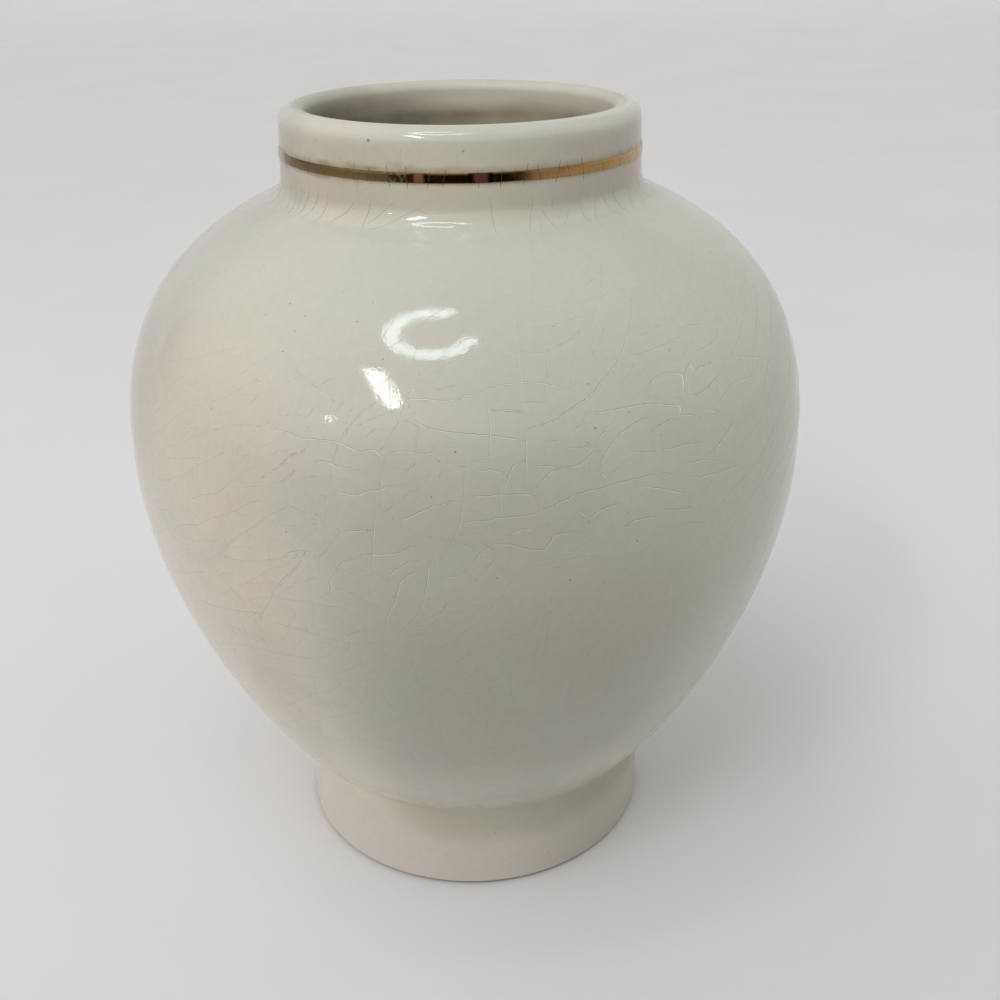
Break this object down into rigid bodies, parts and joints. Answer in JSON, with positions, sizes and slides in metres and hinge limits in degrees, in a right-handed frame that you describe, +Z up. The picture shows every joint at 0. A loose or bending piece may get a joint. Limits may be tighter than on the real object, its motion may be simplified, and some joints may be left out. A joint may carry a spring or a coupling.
{
  "type": "ceramic vase",
  "caption": "Small round-shouldered ceramic vase with a foot ring, a low collar, pale crackle glaze inside and out, and a gilt line round the collar.",
  "frame": {"origin": "centre of the foot ring on the plane that the vase rests on", "axes": "+Z up along the axis that the vase is turned round; X and Y are any two square directions, the pictured side faces -Y"},
  "size_m": [0.1322, 0.1322, 0.1534],
  "materials": {
    "fired_clay": "unglazed fired clay, fine and matt",
    "joining_slip": "fired joining slip, matt",
    "crackle_glaze": "glossy pale grey-green ivory glaze with a fine crackle",
    "lining_glaze": "glossy pale ivory glaze",
    "gilding": "fired gold line, burnished, crazed with the glaze under it"
  },
  "bodies": {
    "root": {"clay_belly": "fired_clay", "clay_foot": "fired_clay", "clay_neck": "fired_clay", "foot_slip_seam": "joining_slip", "neck_slip_seam": "joining_slip", "outer_glaze": "crackle_glaze", "inner_glaze": "lining_glaze", "base_glaze": "lining_glaze", "gold_band": "gilding"}
  },
  "joints": []
}
